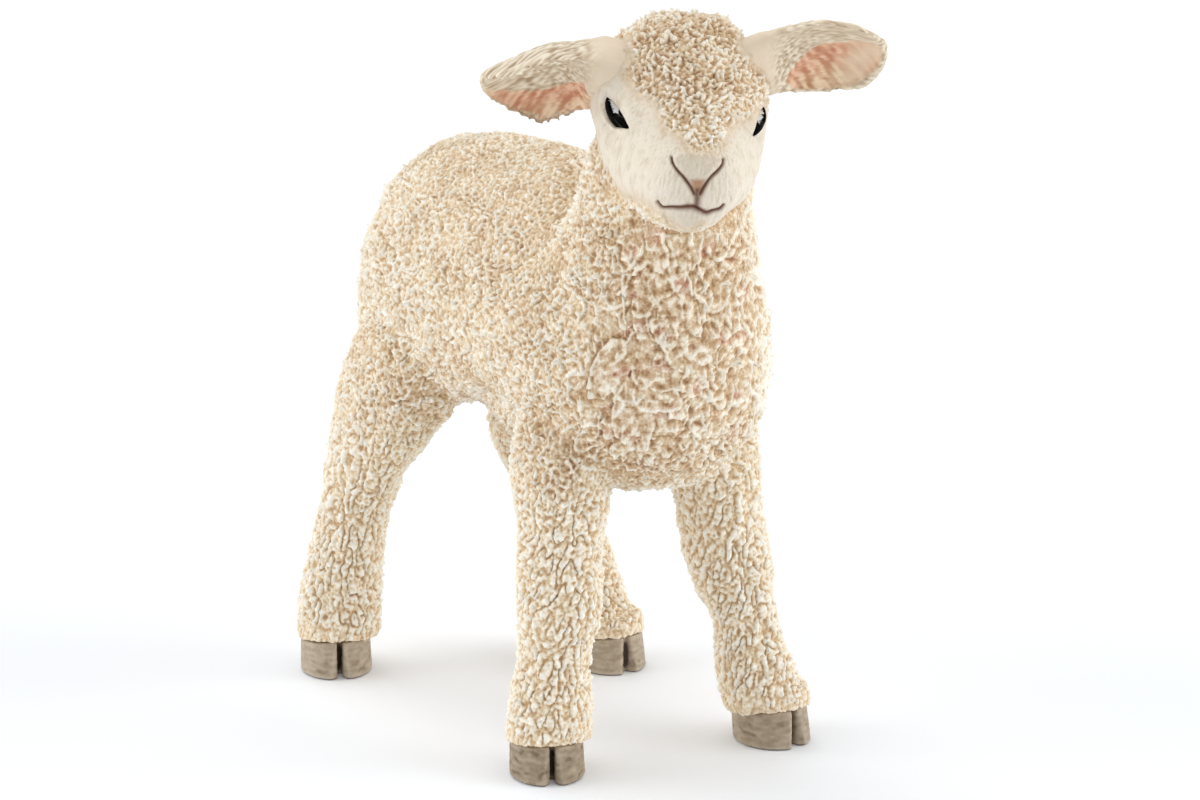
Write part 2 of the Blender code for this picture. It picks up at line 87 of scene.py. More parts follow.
NOSE_RIGHT = ((723.6, 159), (722.6, 164.5), (718, 170.5), (710.5, 177.5), (705, 185.5), (700.5, 194.5))
NOSE_STEM = ((697.5, 192), (697, 200), (696.5, 208))
MOUTH = (
    (657.4, 202), (660, 205.4), (663.5, 207.4), (671, 207), (680, 207.2), (692, 207), (700, 210),
    (706.5, 212.8), (712, 210.8), (719.5, 208.6), (723.2, 204.5),
)
NOSE_PAD = (
    (672, 158), (680, 153), (697, 151), (715, 153), (723, 160), (712, 175), (702, 190), (694, 191), (683, 176),
)
NOSE_TIP = ((690, 179), (705, 179), (702, 192), (695, 193))
LOWER_LIP = ((674, 212), (690, 213), (703, 215), (698, 224), (690, 228), (680, 224))
# The right eye's front corner, how much further ahead and lower the left one's sits than its mirror image, and
# how much longer and lower the left eye is behind that corner.
EYE_CORNER = (4.54, 40.85)
EYE_SHIFT = (0.43, 0.51)
EYE_STRETCH = (1.45, 0.7)
EYE_DOME = {"right_eye": 0.16, "left_eye": 0.34}
# Ears: the edge of the bare inside, its reddest line, and how each ear is turned.
EAR_INSIDE = {
    "right_ear": (
        (470, 88), (500, 90.5), (527, 91.5), (546, 89.5), (561, 86), (576, 81), (586, 84), (592, 94),
        (592, 112), (560, 135), (510, 130), (474, 104),
    ),
    "left_ear": (
        (786, 80), (794, 67), (811, 48.5), (827, 43.5), (850, 41), (869, 42), (881, 48), (882, 60), (874, 73),
        (850, 87), (820, 89), (792, 89),
    ),
}
EAR_RED = {
    "right_ear": ((508, 99), (530, 98), (556, 95), (574, 91)),
    "left_ear": ((795, 74), (806, 64), (822, 54), (842, 50)),
}
EAR_FACING = {"right_ear": math.radians(36), "left_ear": math.radians(27)}
EAR_LIFT = {"right_ear": math.radians(-7), "left_ear": math.radians(5)}
FACE_BOX = ((648, 146), (732, 234))
# The way in which wool and hair hang.
HANG = np.array((0.0, 0.3, -1.0))
# Where the skin is fuller than the photograph's outline: a pixel, its reach and the depth to lose, which is
# below zero where the skin gains.
FULLER = (
    ((360, 222), 70, 0.28), ((768, 262), 62, 0.38), ((480, 405), 22, 0.75), ((446, 411), 15, -0.5),
    ((412, 470), 48, 0.36), ((728, 21), 22, -0.42), ((572, 146), 26, -0.3), ((356, 327), 16, -0.5),
    ((640, 572), 30, 0.32), ((706, 622), 30, 0.28), ((781, 600), 40, 0.22), ((766, 160), 32, 0.2),
    ((756, 212), 24, 0.18), ((728, 216), 18, 0.34),
)
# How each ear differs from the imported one: steps out from the head's middle, with the rise and the share of the
# width there, and the share of the length.
EAR_STEPS = {
    "right_ear": (
        (4.5, 0.0, 1.0), (5.3, -0.02, 1.0), (6.1, -0.04, 1.05), (7.1, -0.08, 1.11), (8.1, -0.14, 1.14),
        (9.2, -0.19, 1.0), (10.0, -0.21, 0.91), (11.0, -0.22, 0.84), (12.0, -0.22, 0.82),
    ),
    "left_ear": (
        (3.8, -0.28, 0.95), (5.0, -0.12, 0.93), (5.8, 0.02, 0.97), (7.0, 0.14, 0.98), (7.9, 0.16, 0.98),
        (9.3, -0.04, 0.95), (9.9, -0.20, 0.97), (10.5, -0.42, 1.0), (11.4, -0.58, 1.04),
    ),
}
EAR_LENGTH = {"right_ear": 0.98, "left_ear": 1.04}
# How far the soft seam between an ear and the head reaches.
SEAM = 1.8
# How far each parted piece of skin reaches into the body behind its edge.
EDGE_DEPTH = 0.8

# Brightness of the room, and how it changes towards the camera and overhead.
ROOM = 0.775
ROOM_FRONT = -0.20
ROOM_TOP = -0.16

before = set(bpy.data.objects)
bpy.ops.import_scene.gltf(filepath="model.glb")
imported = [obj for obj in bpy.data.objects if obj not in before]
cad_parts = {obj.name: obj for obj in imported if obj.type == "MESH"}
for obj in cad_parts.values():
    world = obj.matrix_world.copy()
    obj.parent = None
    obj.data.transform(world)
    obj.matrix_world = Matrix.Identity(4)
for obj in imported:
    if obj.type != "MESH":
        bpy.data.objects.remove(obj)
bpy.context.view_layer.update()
random = np.random.default_rng(SEED)
noise.seed_set(SEED)


def camera_axes():
    """The camera's right, up and forward directions."""
    right = Vector((math.cos(CAMERA_AZIMUTH), math.sin(CAMERA_AZIMUTH), 0))
    level = Vector((-math.sin(CAMERA_AZIMUTH), math.cos(CAMERA_AZIMUTH), 0))
    forward = level * math.cos(CAMERA_ELEVATION) - Vector((0, 0, math.sin(CAMERA_ELEVATION)))
    return right, right.cross(forward), forward


RIGHT, UP, FORWARD = camera_axes()
TO_CAMERA = Vector((-FORWARD.x, -FORWARD.y, 0)).normalized()
FOCAL = PIXELS_PER_MM * CAMERA_DISTANCE
EYE_POINT = (
    CAMERA_AIM - FORWARD * CAMERA_DISTANCE + RIGHT * ((PHOTO_WIDTH / 2 - AIM_PIXEL_X) / PIXELS_PER_MM)
)


def to_pixels(places):
    """Where places land in the photograph."""
    seen = places - np.array(EYE_POINT)
    depth = seen @ np.array(FORWARD)
    across = PHOTO_WIDTH / 2 + FOCAL * (seen @ np.array(RIGHT)) / depth
    down = PHOTO_HEIGHT / 2 - FOCAL * (seen @ np.array(UP)) / depth
    return np.stack((across, down), 1)


def make_camera():
    data = bpy.data.cameras.new("camera")
    data.sensor_width = SENSOR_WIDTH
    data.lens = FOCAL / PHOTO_WIDTH * SENSOR_WIDTH
    data.clip_start = 0.01
    data.clip_end = 20
    made = bpy.data.objects.new("camera", data)
    turn = Matrix((RIGHT, UP, -FORWARD)).transposed().to_4x4()
    made.matrix_world = Matrix.Translation(EYE_POINT * MM) @ turn
    bpy.context.scene.collection.objects.link(made)
    bpy.context.scene.camera = made


HEAD_LEFT = Vector((math.cos(HEAD_YAW), math.sin(HEAD_YAW), 0))
HEAD_AHEAD = Vector((math.sin(HEAD_YAW), -math.cos(HEAD_YAW), 0))


def to_head(places):
    """Places in the head's frame: to its left, ahead of its middle, and up."""
    moved = places - np.array(HEAD_CENTRE)
    return np.stack((moved @ np.array(HEAD_LEFT), moved @ np.array(HEAD_AHEAD), moved[:, 2]), 1)


def mirrored(places):
    """Places on the other side of the head."""
    left = to_head(places)[:, 0]
    return places - 2 * left[:, None] * np.array(HEAD_LEFT)


def to_left_eye(places):
    """Places around the right eye, as they lie around the left one."""
    ahead, up = to_head(places)[:, 1:2], places[:, 2:]
    further = EYE_CORNER[0] + EYE_SHIFT[0] + (ahead - EYE_CORNER[0]) * EYE_STRETCH[0] - ahead
    higher = EYE_CORNER[1] - EYE_SHIFT[1] + (up - EYE_CORNER[1]) * EYE_STRETCH[1] - up
    return mirrored(places) + further * np.array(HEAD_AHEAD) + higher * np.array((0, 0, 1))


def from_left_eye(places):
    """Places around the left eye, as they lie around the right one."""
    ahead, up = to_head(places)[:, 1:2], places[:, 2:]
    further = EYE_CORNER[0] + (ahead - EYE_CORNER[0] - EYE_SHIFT[0]) / EYE_STRETCH[0] - ahead
    higher = EYE_CORNER[1] + (up - EYE_CORNER[1] + EYE_SHIFT[1]) / EYE_STRETCH[1] - up
    return mirrored(places) + further * np.array(HEAD_AHEAD) + higher * np.array((0, 0, 1))


def smooth_step(low, high, value):
    part = np.clip((value - low) / (high - low), 0, 1)
    return part * part * (3 - 2 * part)


def read(mesh, domain, name, width):
    """A mesh attribute as an array."""
    holder = getattr(mesh, domain)
    kind = np.float32 if name in ("co", "normal", "vector") else np.int32
    values = np.empty(len(holder) * width, kind)
    holder.foreach_get(name, values)
    return values.reshape(-1, width) if width > 1 else values


def places_of(mesh):
    return read(mesh, "vertices", "co", 3).astype(float)


def normals_of(mesh):
    return read(mesh, "vertices", "normal", 3).astype(float)


def place(mesh, places):
    mesh.vertices.foreach_set("co", places.astype(np.float32).ravel())
    mesh.update()


def with_modifier(mesh, kind, **settings):
    """The mesh after one modifier."""
    thing = bpy.data.objects.new("work", mesh)
    bpy.context.scene.collection.objects.link(thing)
    step = thing.modifiers.new("step", kind)
    for key, value in settings.items():
        setattr(step, key, value)
    graph = bpy.context.evaluated_depsgraph_get()
    shaped = thing.evaluated_get(graph)
    made = bpy.data.meshes.new_from_object(shaped, preserve_all_data_layers=True, depsgraph=graph)
    bpy.data.objects.remove(thing, do_unlink=True)
    return made


def node_work(*names):
    """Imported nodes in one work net, in millimetres."""
    work = bmesh.new()
    for name in names:
        work.from_mesh(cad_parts[name].data)
    bmesh.ops.scale(work, vec=(1 / MM,) * 3, verts=work.verts)
    return work


def sole_centre(name):
    """The middle of a hoof's sole, in millimetres."""
    places = places_of(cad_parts[f"{name}_hoof"].data) / MM
    low = places[places[:, 2] < 0.05]
    return Vector(((low.min(0) + low.max(0)) / 2)[:2].tolist() + [0])


def keep_largest(work):
    """Drops the small shells that closed sockets leave inside."""
    seen, groups = set(), []
    for start in work.verts:
        if start in seen:
            continue
        group, front = [start], [start]
        seen.add(start)
        while front:
            vertex = front.pop()
            for edge in vertex.link_edges:
                other = edge.other_vert(vertex)
                if other not in seen:
                    seen.add(other)
                    group.append(other)
                    front.append(other)
        groups.append(group)
    groups.sort(key=len)
    for group in groups[:-1]:
        bmesh.ops.delete(work, geom=group, context="VERTS")


class Net:
    """The edges of a mesh, for taking means over neighbours."""

    def __init__(self, mesh):
        edges = read(mesh, "edges", "vertices", 2)
        self.ends = np.concatenate((edges[:, 0], edges[:, 1]))
        self.others = np.concatenate((edges[:, 1], edges[:, 0]))
        self.size = len(mesh.vertices)
        self.count = np.maximum(np.bincount(self.ends, minlength=self.size), 1)

    def mean(self, values):
        if values.ndim == 2:
            return np.stack([self.mean(column) for column in values.T], 1)
        return np.bincount(self.ends, values[self.others], minlength=self.size) / self.count

    def blurred(self, values, rounds):
        for _ in range(rounds):
            values = 0.5 * values + 0.5 * self.mean(values)
        return values

    def relaxed(self, places, rounds):
        """Smooths without shrinking."""
        for _ in range(rounds):
            for step in (0.5, -0.52):
                places = places + step * (self.mean(places) - places)
        return places


def even_net(work, size, rounds):
    """A closed, even, smooth net over a work net."""
    mesh = bpy.data.meshes.new("net")
    work.to_mesh(mesh)
    work.free()
    mesh = with_modifier(mesh, "REMESH", mode="VOXEL", voxel_size=size)
    work = bmesh.new()
    work.from_mesh(mesh)
    keep_largest(work)
    work.to_mesh(mesh)
    work.free()
    place(mesh, Net(mesh).relaxed(places_of(mesh), rounds))
    return mesh


def smooth_skin():
    """The smooth body: trunk, head, legs and tail melted into one closed net."""
    work = node_work(*BODY_NODES)
    for name in LEG_NAMES:
        stub_centre = sole_centre(name) + Vector((0, 0, 1.9))
        shape = Matrix.Translation(stub_centre) @ Matrix.Rotation(TOE_YAW[name], 4, "Z")
        bmesh.ops.create_cone(
            work, cap_ends=True, segments=24, radius1=2.3, radius2=2.3, depth=3.4, matrix=shape
        )
    mesh = even_net(work, NET_SIZE, 12)
    label_faces(mesh)
    return mesh


def label_faces(mesh):
    """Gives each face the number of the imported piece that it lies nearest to."""
    trees = []
    for name in BODY_NODES:
        work = node_work(name)
        trees.append(BVHTree.FromBMesh(work))
        work.free()
    labels = []
    for face in mesh.polygons:
        found = [tree.find_nearest(face.center, 12.0)[3] for tree in trees]
        reach = [1e9 if distance is None else distance for distance in found]
        labels.append(int(np.argmin(reach)))
    for _ in BODY_NODES:
        mesh.materials.append(None)
    mesh.polygons.foreach_set("material_index", labels)


def cut_cuffs(mesh):
    """Cuts each leg off at its sloping cuff, and closes it there."""
    work = bmesh.new()
    work.from_mesh(mesh)
    for name in LEG_NAMES:
        centre = sole_centre(name)
        turn = Matrix.Rotation(TOE_YAW[name], 3, "Z")
        upwards = turn @ Vector((0, math.sin(HOOF_SLOPE), math.cos(HOOF_SLOPE)))
        point = centre + Vector((0, 0, HOOF_HEIGHT + CUFF_GAP))
        near = [face for face in work.faces if (face.calc_center_median() - point).length < 4.5]
        parts = dict.fromkeys(near)
        for face in near:
            parts.update(dict.fromkeys(face.edges))
            parts.update(dict.fromkeys(face.verts))
        cut = bmesh.ops.bisect_plane(
            work, geom=list(parts), plane_co=point, plane_no=upwards, clear_inner=True, dist=1e-4
        )
        rim = [part for part in cut["geom_cut"] if isinstance(part, bmesh.types.BMEdge)]
        caps = bmesh.ops.edgeloop_fill(work, edges=rim)["faces"]
        for face in caps:
            face.material_index = BODY_NODES.index(f"{name}_leg")
    work.to_mesh(mesh)
    work.free()
    mesh.update()
    return mesh


def refine_muzzle(mesh):
    """Divides the net again around the nose and mouth, where the lines are fine."""
    work = bmesh.new()
    work.from_mesh(mesh)
    places = places_of(mesh)
    spots = to_pixels(places)
    (left, top), (right, bottom) = FACE_BOX
    chosen = (spots[:, 0] > left) & (spots[:, 0] < right) & (spots[:, 1] > top) & (spots[:, 1] < bottom)
    chosen &= (normals_of(mesh) @ np.array(FORWARD)) < 0
    chosen &= to_head(places)[:, 1] > 2
    work.verts.ensure_lookup_table()
    inside = {work.verts[index] for index in np.flatnonzero(chosen)}
    edges = [edge for edge in work.edges if edge.verts[0] in inside and edge.verts[1] in inside]
    bmesh.ops.subdivide_edges(work, edges=edges, cuts=2, use_grid_fill=True)
    work.to_mesh(mesh)
    work.free()
    mesh.update()
    return mesh


class Cells:
    """Places sorted into cubes, to find those near a point."""

    def __init__(self, places, size):
        self.size = size
        self.low = places.min(0) - size
        keys = ((places - self.low) / size).astype(int)
        self.span = keys.max(0) + 2
        flat = (keys[:, 0] * self.span[1] + keys[:, 1]) * self.span[2] + keys[:, 2]
        self.order = np.argsort(flat, kind="stable")
        self.flat = flat[self.order]
        steps = np.array([-1, 0, 1])
        self.around = ((steps[:, None] * self.span[1] + steps[None, :]) * self.span[2]).ravel()

    def near(self, place):
        key = ((place - self.low) / self.size).astype(int)
        middle = (key[0] * self.span[1] + key[1]) * self.span[2] + key[2]
        starts = np.searchsorted(self.flat, middle + self.around - 1, "left")
        ends = np.searchsorted(self.flat, middle + self.around + 1, "right")
        return np.concatenate([self.order[start:end] for start, end in zip(starts, ends)])


def spread(places, spacing, tries):
    """Picks places that keep their own spacing from each other."""
    cube = spacing.max()
    steps = [(x, y, z) for x in (-1, 0, 1) for y in (-1, 0, 1) for z in (-1, 0, 1)]
    kept, home = [], {}
    for index in random.permutation(len(places))[:tries]:
        spot, reach = places[index].tolist(), spacing[index] ** 2
        key = tuple(int(part // cube) for part in spot)
        close = False
        for step in steps:
            for other in home.get((key[0] + step[0], key[1] + step[1], key[2] + step[2]), ()):
                gap = (other[0] - spot[0]) ** 2 + (other[1] - spot[1]) ** 2 + (other[2] - spot[2]) ** 2
                if gap < reach:
                    close = True
                    break
            if close:
                break
        if not close:
            kept.append(index)
            home.setdefault(key, []).append(spot)
    return kept


def line_distance(points, corners, closed):
    """How far points lie from a line through corners."""
    corners = np.array(corners, float)
    ends = np.roll(corners, -1, 0) if closed else corners[1:]
    best = np.full(len(points), 1e9)
    for start, end in zip(corners, ends):
        run = end - start
        part = np.clip(((points - start) @ run) / (run @ run), 0, 1)
        best = np.minimum(best, np.linalg.norm(points - start - part[:, None] * run, axis=1))
    return best


def inside_by(points, corners):
    """How far inside a polygon points lie, below zero outside."""
    corners = np.array(corners, float)
    inside = np.zeros(len(points), bool)
    for start, end in zip(corners, np.roll(corners, -1, 0)):
        crosses = (start[1] > points[:, 1]) != (end[1] > points[:, 1])
        with np.errstate(divide="ignore", invalid="ignore"):
            at = (end[0] - start[0]) * (points[:, 1] - start[1]) / (end[1] - start[1]) + start[0]
        inside ^= crosses & (points[:, 0] < at)
    best = line_distance(points, corners, True)
    return np.where(inside, best, -best)


def noisy(places, scale, seed=0.0):
    """Smooth noise, one value for each place."""
    shift = Vector((seed, seed * 1.7, -seed))
    return np.array([noise.noise(Vector(place) * scale + shift) for place in places.tolist()])


def wandering(places, scale, reach):
    """Places pushed about by smooth noise, so that outlines wander."""
    pushes = [noise.noise_vector(Vector(place) * scale) for place in places.tolist()]
    return places + reach * np.array(pushes)


def gap_to(tree, places, reach):
    """How far places are from another skin: zero inside it, and never more than the reach."""
    gaps = np.full(len(places), float(reach))
    for index, spot in enumerate(places.tolist()):
        hit, normal, _, distance = tree.find_nearest(spot, reach)
        if hit is not None:
            gaps[index] = distance if (Vector(spot) - hit).dot(normal) > 0 else 0.0
    return gaps


def seam_swell(gaps):
    """How far a skin swells towards another one beside it, so that both melt together."""
    return np.maximum(SEAM - gaps, 0) ** 2 / (4 * SEAM)


def ear_gaps(places, ear_trees):
    """How far the head's skin is from the ears."""
    head = to_head(places)
    near = (head[:, 2] > -2.5) & (np.abs(head[:, 0]) > 1.5) & (np.abs(head[:, 1]) < 6)
    gaps = np.full(len(places), 2 * SEAM)
    for side, tree in ear_trees.items():
        chosen = np.flatnonzero(near & (head[:, 0] * side > 0))
        gaps[chosen] = gap_to(tree, places[chosen], 2 * SEAM)
    return gaps


def zones(places, normals, is_head, gaps):
    """Bare skin of the face, and the size, height and direction of the curls everywhere."""
    head = to_head(places)
    facing = -(normals @ np.array(FORWARD))
    edge = inside_by(to_pixels(places), FACE_EDGE) / PIXELS_PER_MM
    bare = smooth_step(-0.22, 0.3, edge + 0.25 * noisy(places, 1.6, 5.0)) * smooth_step(-0.35, -0.1, facing)
    bare = bare * smooth_step(-3.0, -1.6, head[:, 1])
    bare = np.maximum(bare, smooth_step(0.8, 0.3, gaps + 0.25 * noisy(places, 1.6, 3.0))) * is_head
    ahead, up = -places[:, 1], places[:, 2]
    body = 1 - is_head
    neck = smooth_step(30, 33, up) * smooth_step(6.5, 8.5, ahead) * body
    legs = smooth_step(20, 15, up)
    lower = smooth_step(12, 6, up)
    back = smooth_step(0.45, 0.9, normals[:, 2]) * body
    chest = smooth_step(0.3, 0.7, -normals[:, 1]) * smooth_step(19, 23, up) * smooth_step(38, 33, up) * body
    size = 1.0 - 0.18 * back - 0.27 * legs - 0.05 * lower + 0.75 * chest - 0.14 * neck
    size = size * body * (1 + 0.45 * noisy(places, 0.3, 14.0)) + 0.62 * is_head
    lift = 0.35 - 0.10 * back - 0.08 * legs + 0.02 * chest
    lift = lift * body * (0.4 + 0.6 * smooth_step(2.4, 3.8, up)) + 0.30 * is_head
    flow = np.tile(HANG, (len(places), 1))
    flow -= normals * np.sum(flow * normals, 1)[:, None]
    flow /= np.linalg.norm(flow, axis=1)[:, None] + 1e-6
    # Along the face's edge the skin is darker: ochre wash and painted shade where the wool stands over it.
    rim = np.exp(-((np.maximum(edge, 0) / 0.45) ** 2)) * bare
    return {
        "bare": bare, "size": size, "lift": lift * (1 - bare), "flow": flow, "chest": chest, "legs": legs,
        "stretch": 1.2 + 0.6 * legs + 0.7 * chest + 0.3 * neck,
        "aligned": np.clip(0.4 + 0.6 * legs + 0.45 * chest + 0.3 * neck - 0.4 * is_head, 0, 0.92),
        "cap": is_head * (1 - bare),
        "wash_and_shade": np.maximum(fleece_wash_and_shade(places, normals, is_head, neck, chest) * (1 - bare), 0.7 * rim),
    }


def far_muzzle(places, normals):
    """The far side of the muzzle and the chin, which are as bare as the near side."""
    head = to_head(places)
    hidden = smooth_step(0.05, -0.1, -(normals @ np.array(FORWARD)))
    far = np.maximum(hidden, smooth_step(0.2, 0.8, head[:, 0]))
    low = smooth_step(0.0, -1.2, head[:, 2])
    return far * low * smooth_step(2.6, 3.8, head[:, 1] + 0.3 * noisy(places, 1.6, 5.0))


def fleece_wash_and_shade(places, normals, is_head, neck, chest):
    """Where the ochre wash of the fleece is darkest, with painted shade added under the head, on the chest and on
    faces that point down.
    """
    cloud = 0.9 * noisy(places, 0.5, 12.0) + 0.7 * noisy(places, 1.3, 17.0)
    cap = is_head * smooth_step(41, 43, places[:, 2])
    under = smooth_step(0.1, 0.8, -normals[:, 2]) * smooth_step(14, 17, places[:, 2])
    breast = chest * smooth_step(5.5, 2.0, places[:, 0])
    legs = smooth_step(20, 15, places[:, 2])
    body = (1 - is_head) * (1 - legs)
    # The toy's ochre wash paint, with painted shade in it too: the neck under the head, the chest's middle and the
    # faces that point down are darker, where the belly and chest also have brownish paint of their own. The legs are
    # paler: paler paint and painted light both.
    wash_and_shade = 0.6 * cap + 0.14 * body + 0.1 * neck + 0.8 * breast + 0.6 * under * (1 - is_head) - 0.6 * legs
    return np.clip(wash_and_shade + 0.75 * cloud * (1 - 0.4 * legs), 0, 1)


def strands(places, way, length, width, seed):
    """Noise drawn out along a direction, as hair is."""
    way = way / np.linalg.norm(way)
    along = places @ way
    beside = places - along[:, None] * way
    return noisy(beside / width + (along / length)[:, None] * way, 1.0, seed)


class Fleece:
    """The curls: how high they stand over the smooth skin."""

    def __init__(self, places, normals, zone):
        self.places, self.normals, self.zone = places, normals, zone
        self.wander = wandering(places, 2.1, 0.13)
        self.height = np.zeros(len(places))
        self.cells = Cells(places, 1.25)

    def heading(self, index):
        """The direction in which a curl hangs, and the one beside it."""
        flow, normal = self.zone["flow"][index], self.normals[index]
        spin = random.uniform(0, math.tau)
        if random.random() < self.zone["aligned"][index]:
            spin = random.normal(0, 0.35)
        way = flow * math.cos(spin) + np.cross(normal, flow) * math.sin(spin)
        return way, np.cross(normal, way)

    def around(self, index):
        """The places near a curl, along and across it."""
        near = self.cells.near(self.places[index])
        near = near[self.normals[near] @ self.normals[index] > 0.3]
        way, beside = self.heading(index)
        gap = self.wander[near] - self.wander[index]
        return near, gap @ way, gap @ beside

    def lay_flap(self, index, share):
        """A thin drooping flap with a raised rim along its lower side."""
        size = self.zone["size"][index] * share * random.uniform(0.65, 1.3)
        near, along, across = self.around(index)
        stretch = self.zone["stretch"][index] * random.uniform(0.8, 1.25)
        along = along / stretch
        depth = np.hypot(along, across)
        angle = np.arctan2(across, along)
        first, second, third = random.uniform(0, math.tau, 3)
        wobble = 0.12 * np.cos(angle - first) + 0.09 * np.cos(2 * angle - second)
        inside = size * (0.5 + wobble + 0.07 * np.cos(3 * angle - third)) - depth
        chest = self.zone["chest"][index]
        level = random.uniform(0.05, 0.5) + random.uniform(0.05, 0.5) * along / size + 0.3 * chest
        plate = smooth_step(-0.05, 0.08, inside) * level
        opening = smooth_step(-0.4, 0.6, np.cos(angle - random.normal(0, 0.9)))
        crest = random.uniform(0.065, 0.115) * (1 + 0.4 * chest)
        rim = np.exp(-(((inside - crest * 0.7) / crest) ** 2)) * opening * random.uniform(0.3, 0.9)
        raised = self.zone["lift"][index] * np.maximum(plate + rim * 0.8, 0)
        self.height[near] = np.maximum(self.height[near], raised)

    def lay_lock(self, index, share, into):
        """A thin round lock that follows an arc."""
        size = self.zone["size"][index] * share
        near, along, across = self.around(index)
        bend = size * random.uniform(0.22, 1.0)
        length = size * random.uniform(0.25, 1.0)
        reach = min(length / 2 / bend, 2.7)
        angle = np.arctan2(across, bend - along)
        distance = np.abs(np.hypot(across, along - bend) - bend)
        tip = np.hypot(np.abs(across) - bend * math.sin(reach), along - bend * (1 - math.cos(reach)))
        distance = np.where(np.abs(angle) > reach, tip, distance)
        width = random.uniform(0.09, 0.15) * (1 - 0.35 * np.clip(np.abs(angle) / reach, 0, 1) ** 2)
        ridge = np.exp(-((distance / width) ** 2))
        raised = self.zone["lift"][index] * ridge * random.uniform(0.35, 0.9)
        into[near] = np.maximum(into[near], raised)

    def lay(self):
        size, cap = self.zone["size"], self.zone["cap"]
        hairy = self.zone["lift"] > 0.03
        flaps = [index for index in spread(self.places, size * 0.52, 140000) if hairy[index]]
        for index in flaps:
            self.lay_flap(index, 1.15)
        locks = [index for index in spread(self.places, size * 0.50, 140000) if hairy[index]]
        bare = self.zone["chest"][locks] * 0.75 > random.random(len(locks))
        locks = [index for index, skipped in zip(locks, bare) if not skipped]
        over = np.zeros(len(self.places))
        for index in locks:
            self.lay_lock(index, 0.8, over)
        print("flaps", len(flaps), "locks", len(locks))
        lift, legs = self.zone["lift"], self.zone["legs"]
        self.height = (self.height + over * (0.55 + 0.35 * cap)) * (1 - 0.6 * legs)
        worms = np.abs(strands(self.wander, HANG, 1.0, 0.36, 21.0))
        self.height += 0.18 * lift * (1 - 0.5 * self.zone["chest"]) * np.clip(1 - worms / 0.2, 0, 1)
        lobes = np.abs(strands(self.wander, HANG, 2.0, 0.48, 25.0))
        self.height += 0.85 * legs * lift * smooth_step(0.0, 0.22, lobes)


def store(mesh, name, values):
    holder = mesh.attributes.get(name) or mesh.attributes.new(name, "FLOAT", "POINT")
    holder.data.foreach_set("value", np.ascontiguousarray(values, dtype=np.float32))


def labelled(mesh, name):
    """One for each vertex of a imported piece's skin, and zero elsewhere."""
    of_piece = read(mesh, "polygons", "material_index", 1) == BODY_NODES.index(name)
    loops = read(mesh, "loops", "vertex_index", 1)
    totals = read(mesh, "polygons", "loop_total", 1)
    made = np.zeros(len(mesh.vertices))
    made[loops[np.repeat(of_piece, totals)]] = 1
    return made


def line(spots, corners, width):
    """A soft line's strength, one along its middle."""
    curve = smooth_curve(corners, 8 * len(corners), False)
    return np.exp(-((line_distance(spots, curve, False) / width) ** 2))


def face_forms(places, normals, is_head):
    """The depth of the face's forms, and where its paints lie."""
    spots = to_pixels(places)
    front = smooth_step(0.0, 0.25, -(normals @ np.array(FORWARD))) * is_head
    front = front * smooth_step(1.0, 2.5, to_head(places)[:, 1])
    thin = 1.5 + 0.7 * smooth_step(160, 192, spots[:, 1])
    nose = np.maximum(line(spots, NOSE_LEFT, thin), line(spots, NOSE_RIGHT, thin))
    stem = line(spots, NOSE_STEM, 3.8)
    thick = 1.5 + 1.8 * np.exp(-(((spots[:, 0] - 693) / 19) ** 2))
    mouth = line(spots, MOUTH, thick)
    pad = smooth_step(-1.5, 4.5, inside_by(spots, NOSE_PAD))
    tip = smooth_step(-2.5, 3.0, inside_by(spots, NOSE_TIP))
    lip = smooth_step(-3.0, 4.5, inside_by(spots, LOWER_LIP))
    cheek = np.exp(-(((spots[:, 0] - 676) / 15) ** 2) - ((spots[:, 1] - 198) / 13) ** 2)
    cheek += np.exp(-(((spots[:, 0] - 715) / 13) ** 2) - ((spots[:, 1] - 198) / 13) ** 2)
    depth = -0.15 * nose - 0.16 * stem - 0.17 * mouth + 0.09 * pad - 0.07 * tip + 0.10 * lip + 0.12 * cheek
    brown = np.maximum(np.maximum(nose, stem * 0.85), mouth)
    # The grey on the nose pad and the lower lip is grey paint that also stands in for shade on the muzzle.
    return depth * front, brown * front, tip * front, np.maximum(pad * 0.4, lip * 0.4) * front


def eye_forms(places, is_head):
    """The recess under each eye and the lids around it."""
    left = to_head(places)[:, 0]
    depth = np.zeros(len(places))
    for spots, side in ((to_pixels(places), left < -0.4), (to_pixels(from_left_eye(places)), left > 0.4)):
        here = side & (to_head(places)[:, 1] > 0) & (is_head > 0.5)
        inside = inside_by(spots, EYE_EDGE)
        recess = smooth_step(-0.5, 2.5, inside)
        ring = np.exp(-(((inside + 3.0) / 1.6) ** 2))
        brow = np.exp(-(((inside + 7.0) / 5.0) ** 2)) * smooth_step(-2, 10, spots[:, 0] - spots[:, 1] - 500)
        depth += np.where(here, 0.12 * ring - 0.30 * recess + 0.12 * brow, 0)
    return depth


def slimming(places, normals):
    """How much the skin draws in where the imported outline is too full."""
    spots = to_pixels(places)
    side = smooth_step(0.75, 0.3, np.abs(normals @ np.array(FORWARD)))
    loss = np.zeros(len(places))
    for centre, reach, depth in FULLER:
        loss += depth * np.exp(-(np.linalg.norm(spots - np.array(centre), axis=1) / reach) ** 2)
    return loss * side


